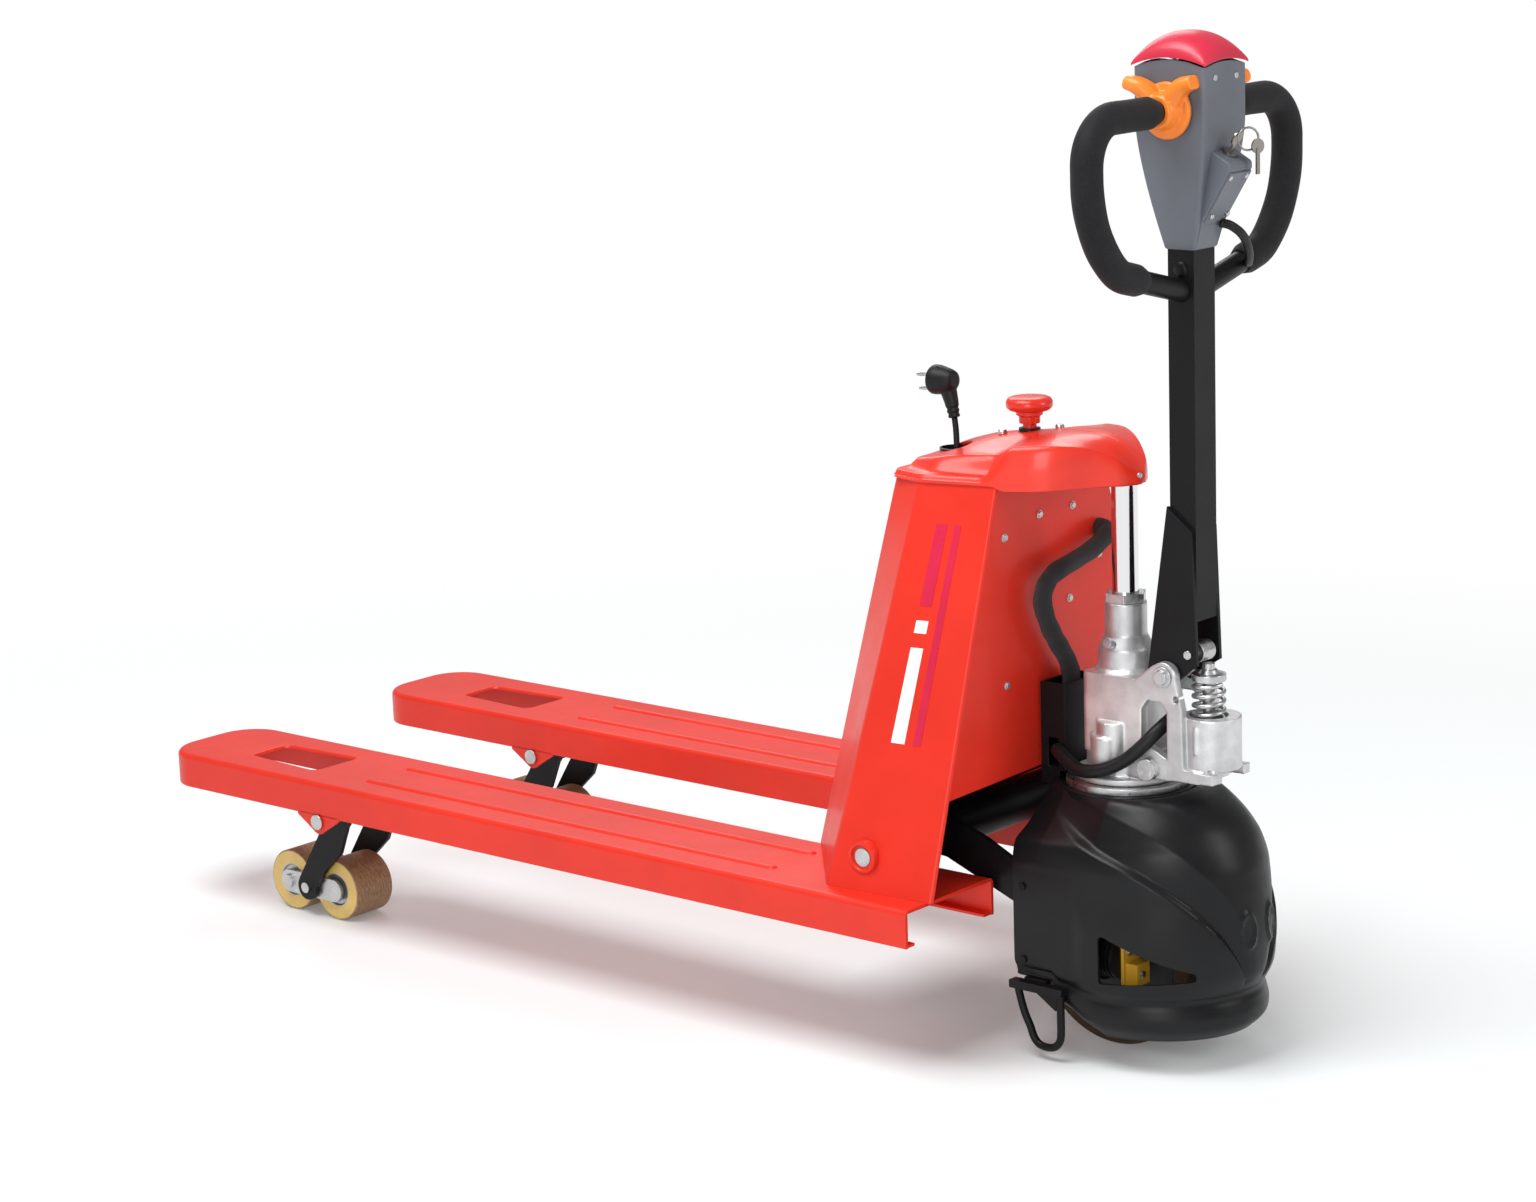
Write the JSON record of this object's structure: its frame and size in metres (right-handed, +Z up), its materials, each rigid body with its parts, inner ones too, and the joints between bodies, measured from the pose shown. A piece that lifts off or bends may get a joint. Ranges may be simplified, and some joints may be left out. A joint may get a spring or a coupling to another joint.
{
  "type": "electric pallet truck",
  "caption": "Walk-behind electric pallet truck with its two forks raised, a tapered battery box, a hydraulic pump mast, a covered drive wheel and a steering tiller.",
  "frame": {"origin": "on the floor, under the centre of the truck's overall box", "axes": "+X from the fork tips towards the tiller, +Y to the right-hand fork as seen by an operator facing the forks from behind, +Z up"},
  "size_m": [1.555, 0.558, 1.148],
  "materials": {
    "red_paint": "gloss",
    "red_plastic": "gloss",
    "black_paint": "satin",
    "grey_paint": "satin",
    "steel": "zinc plated",
    "chrome": "polished",
    "cast_alloy": "as cast",
    "black_plastic": "satin",
    "foam": "matt",
    "tyre": "polyurethane",
    "roller": "polyurethane",
    "slate_plastic": "satin",
    "orange_plastic": "gloss",
    "magenta_plastic": "gloss",
    "yellow_zinc": "satin",
    "battery": "matt",
    "cable": "matt",
    "sleeve": "braided"
  },
  "bodies": {
    "chassis": {"fork_left": "red_paint", "fork_right": "red_paint", "battery_box": "red_paint", "box_frame": "grey_paint", "top_cover": "red_plastic", "crosshead": "grey_paint", "battery_pack": "battery", "charger_unit": "cast_alloy", "motor_controller": "black_plastic", "piston_rod": "chrome", "crank_pins": "steel", "arm_pins": "steel", "box_screws": "steel", "estop_base": "black_plastic", "cable_gland": "black_plastic", "charger_cord": "cable", "charger_coil": "cable", "charger_plug": "cable"},
    "estop": {"estop_button": "red_plastic"},
    "crank": {"bell_crank": "black_paint"},
    "push_rod_l": {"push_rod_left": "grey_paint"},
    "push_rod_r": {"push_rod_right": "grey_paint"},
    "arm_l": {"roller_arm_left": "black_paint"},
    "arm_r": {"roller_arm_right": "black_paint"},
    "bogie_l": {"bogie_left": "steel"},
    "bogie_r": {"bogie_right": "steel"},
    "roller_lf": {"roller_left_front": "roller"},
    "roller_lr": {"roller_left_rear": "roller"},
    "roller_rf": {"roller_right_front": "roller"},
    "roller_rr": {"roller_right_rear": "roller"},
    "carrier": {"carrier": "black_paint", "cable_bracket": "black_paint", "drive_cover": "black_plastic", "skid_hoops": "black_paint", "cover_screws": "steel", "thrust_bearing": "steel", "harness": "sleeve"},
    "drive_head": {"pump_casting": "cast_alloy", "gland_nut": "steel", "casting_bolts": "steel", "tiller_pin": "steel", "drive_frame": "grey_paint", "gear_case": "cast_alloy", "drive_motor": "black_paint", "motor_bracket": "yellow_zinc"},
    "wheel": {"drive_wheel": "cast_alloy", "drive_tyre": "tyre"},
    "plunger": {"plunger": "steel", "return_spring": "steel"},
    "tiller": {"tiller_frame": "black_paint", "tiller_roller": "steel", "handle_loop": "black_paint", "grip_left": "foam", "grip_right": "foam", "tiller_head": "slate_plastic", "head_screws": "steel", "head_cable": "cable"},
    "throttles": {"throttle": "orange_plastic"},
    "reverse_button": {"belly_button": "magenta_plastic"},
    "key": {"ignition_key": "chrome"}
  },
  "joints": [
    {"name": "lift", "type": "slide", "parent": "chassis", "child": "carrier", "axis": [0, 0, 1], "range_m": [0, 0.115], "deforming": ["harness"]},
    {"name": "steer", "type": "hinge", "parent": "carrier", "child": "drive_head", "pos_m": [0.5975, 0, 0.3], "axis": [0, 0, 1], "range_deg": [-90, 90]},
    {"name": "wheel_spin", "type": "hinge", "parent": "drive_head", "child": "wheel", "pos_m": [0.5975, 0, 0.105], "axis": [0, 1, 0], "continuous": true},
    {"name": "tiller_tilt", "type": "hinge", "parent": "drive_head", "child": "tiller", "pos_m": [0.6725, 0, 0.442], "axis": [0, 1, 0], "range_deg": [0, 70], "stiffness_Nm_per_rad": 22, "springref_deg": -20.05},
    {"name": "plunger_stroke", "type": "slide", "parent": "drive_head", "child": "plunger", "axis": [0, 0, -1], "range_m": [0, 0.0417], "deforming": ["return_spring"]},
    {"name": "throttle_turn", "type": "hinge", "parent": "tiller", "child": "throttles", "pos_m": [0.6895, 0, 1.066], "axis": [0, 1, 0], "range_deg": [-25, 25], "stiffness_Nm_per_rad": 0.8},
    {"name": "reverse_press", "type": "slide", "parent": "tiller", "child": "reverse_button", "axis": [0, 0, -1], "range_m": [0, 0.005], "stiffness_N_per_m": 2500, "springref_m": -0.003},
    {"name": "key_turn", "type": "hinge", "parent": "tiller", "child": "key", "pos_m": [0.7395, 0, 1.018], "axis": [0.5, 0, 0.866], "range_deg": [-60, 0]},
    {"name": "estop_press", "type": "slide", "parent": "chassis", "child": "estop", "axis": [0, 0, -1], "range_m": [0, 0.0045]},
    {"name": "crank_turn", "type": "hinge", "parent": "chassis", "child": "crank", "pos_m": [0.4005, 0, 0.238], "axis": [0, -1, 0], "range_deg": [0, 43.01]},
    {"name": "push_rod_l", "type": "slide", "parent": "chassis", "child": "push_rod_l", "axis": [1, 0, 0], "range_m": [0, 0.0371]},
    {"name": "arm_l", "type": "hinge", "parent": "chassis", "child": "arm_l", "pos_m": [-0.4725, -0.195, 0.148], "axis": [0, 1, 0], "range_deg": [0, 60.01]},
    {"name": "bogie_l", "type": "hinge", "parent": "arm_l", "child": "bogie_l", "pos_m": [-0.5425, -0.195, 0.04], "axis": [0, 1, 0], "range_deg": [-60.01, 0]},
    {"name": "roller_lf", "type": "hinge", "parent": "bogie_l", "child": "roller_lf", "pos_m": [-0.5845, -0.195, 0.04], "axis": [0, 1, 0], "continuous": true},
    {"name": "roller_lr", "type": "hinge", "parent": "bogie_l", "child": "roller_lr", "pos_m": [-0.5005, -0.195, 0.04], "axis": [0, 1, 0], "continuous": true},
    {"name": "push_rod_r", "type": "slide", "parent": "chassis", "child": "push_rod_r", "axis": [1, 0, 0], "range_m": [0, 0.0371]},
    {"name": "arm_r", "type": "hinge", "parent": "chassis", "child": "arm_r", "pos_m": [-0.4725, 0.195, 0.148], "axis": [0, 1, 0], "range_deg": [0, 60.01]},
    {"name": "bogie_r", "type": "hinge", "parent": "arm_r", "child": "bogie_r", "pos_m": [-0.5425, 0.195, 0.04], "axis": [0, 1, 0], "range_deg": [-60.01, 0]},
    {"name": "roller_rf", "type": "hinge", "parent": "bogie_r", "child": "roller_rf", "pos_m": [-0.5845, 0.195, 0.04], "axis": [0, 1, 0], "continuous": true},
    {"name": "roller_rr", "type": "hinge", "parent": "bogie_r", "child": "roller_rr", "pos_m": [-0.5005, 0.195, 0.04], "axis": [0, 1, 0], "continuous": true}
  ],
  "couplings": [
    {"joint": "crank_turn", "follows": "lift", "rad_per_m": 6.526},
    {"joint": "plunger_stroke", "follows": "tiller_tilt", "m_per_rad": 0.03405},
    {"joint": "push_rod_l", "follows": "lift", "ratio": 0.32174},
    {"joint": "arm_l", "follows": "lift", "rad_per_m": 9.1061},
    {"joint": "bogie_l", "follows": "lift", "rad_per_m": -9.1061},
    {"joint": "push_rod_r", "follows": "lift", "ratio": 0.32174},
    {"joint": "arm_r", "follows": "lift", "rad_per_m": 9.1061},
    {"joint": "bogie_r", "follows": "lift", "rad_per_m": -9.1061}
  ]
}
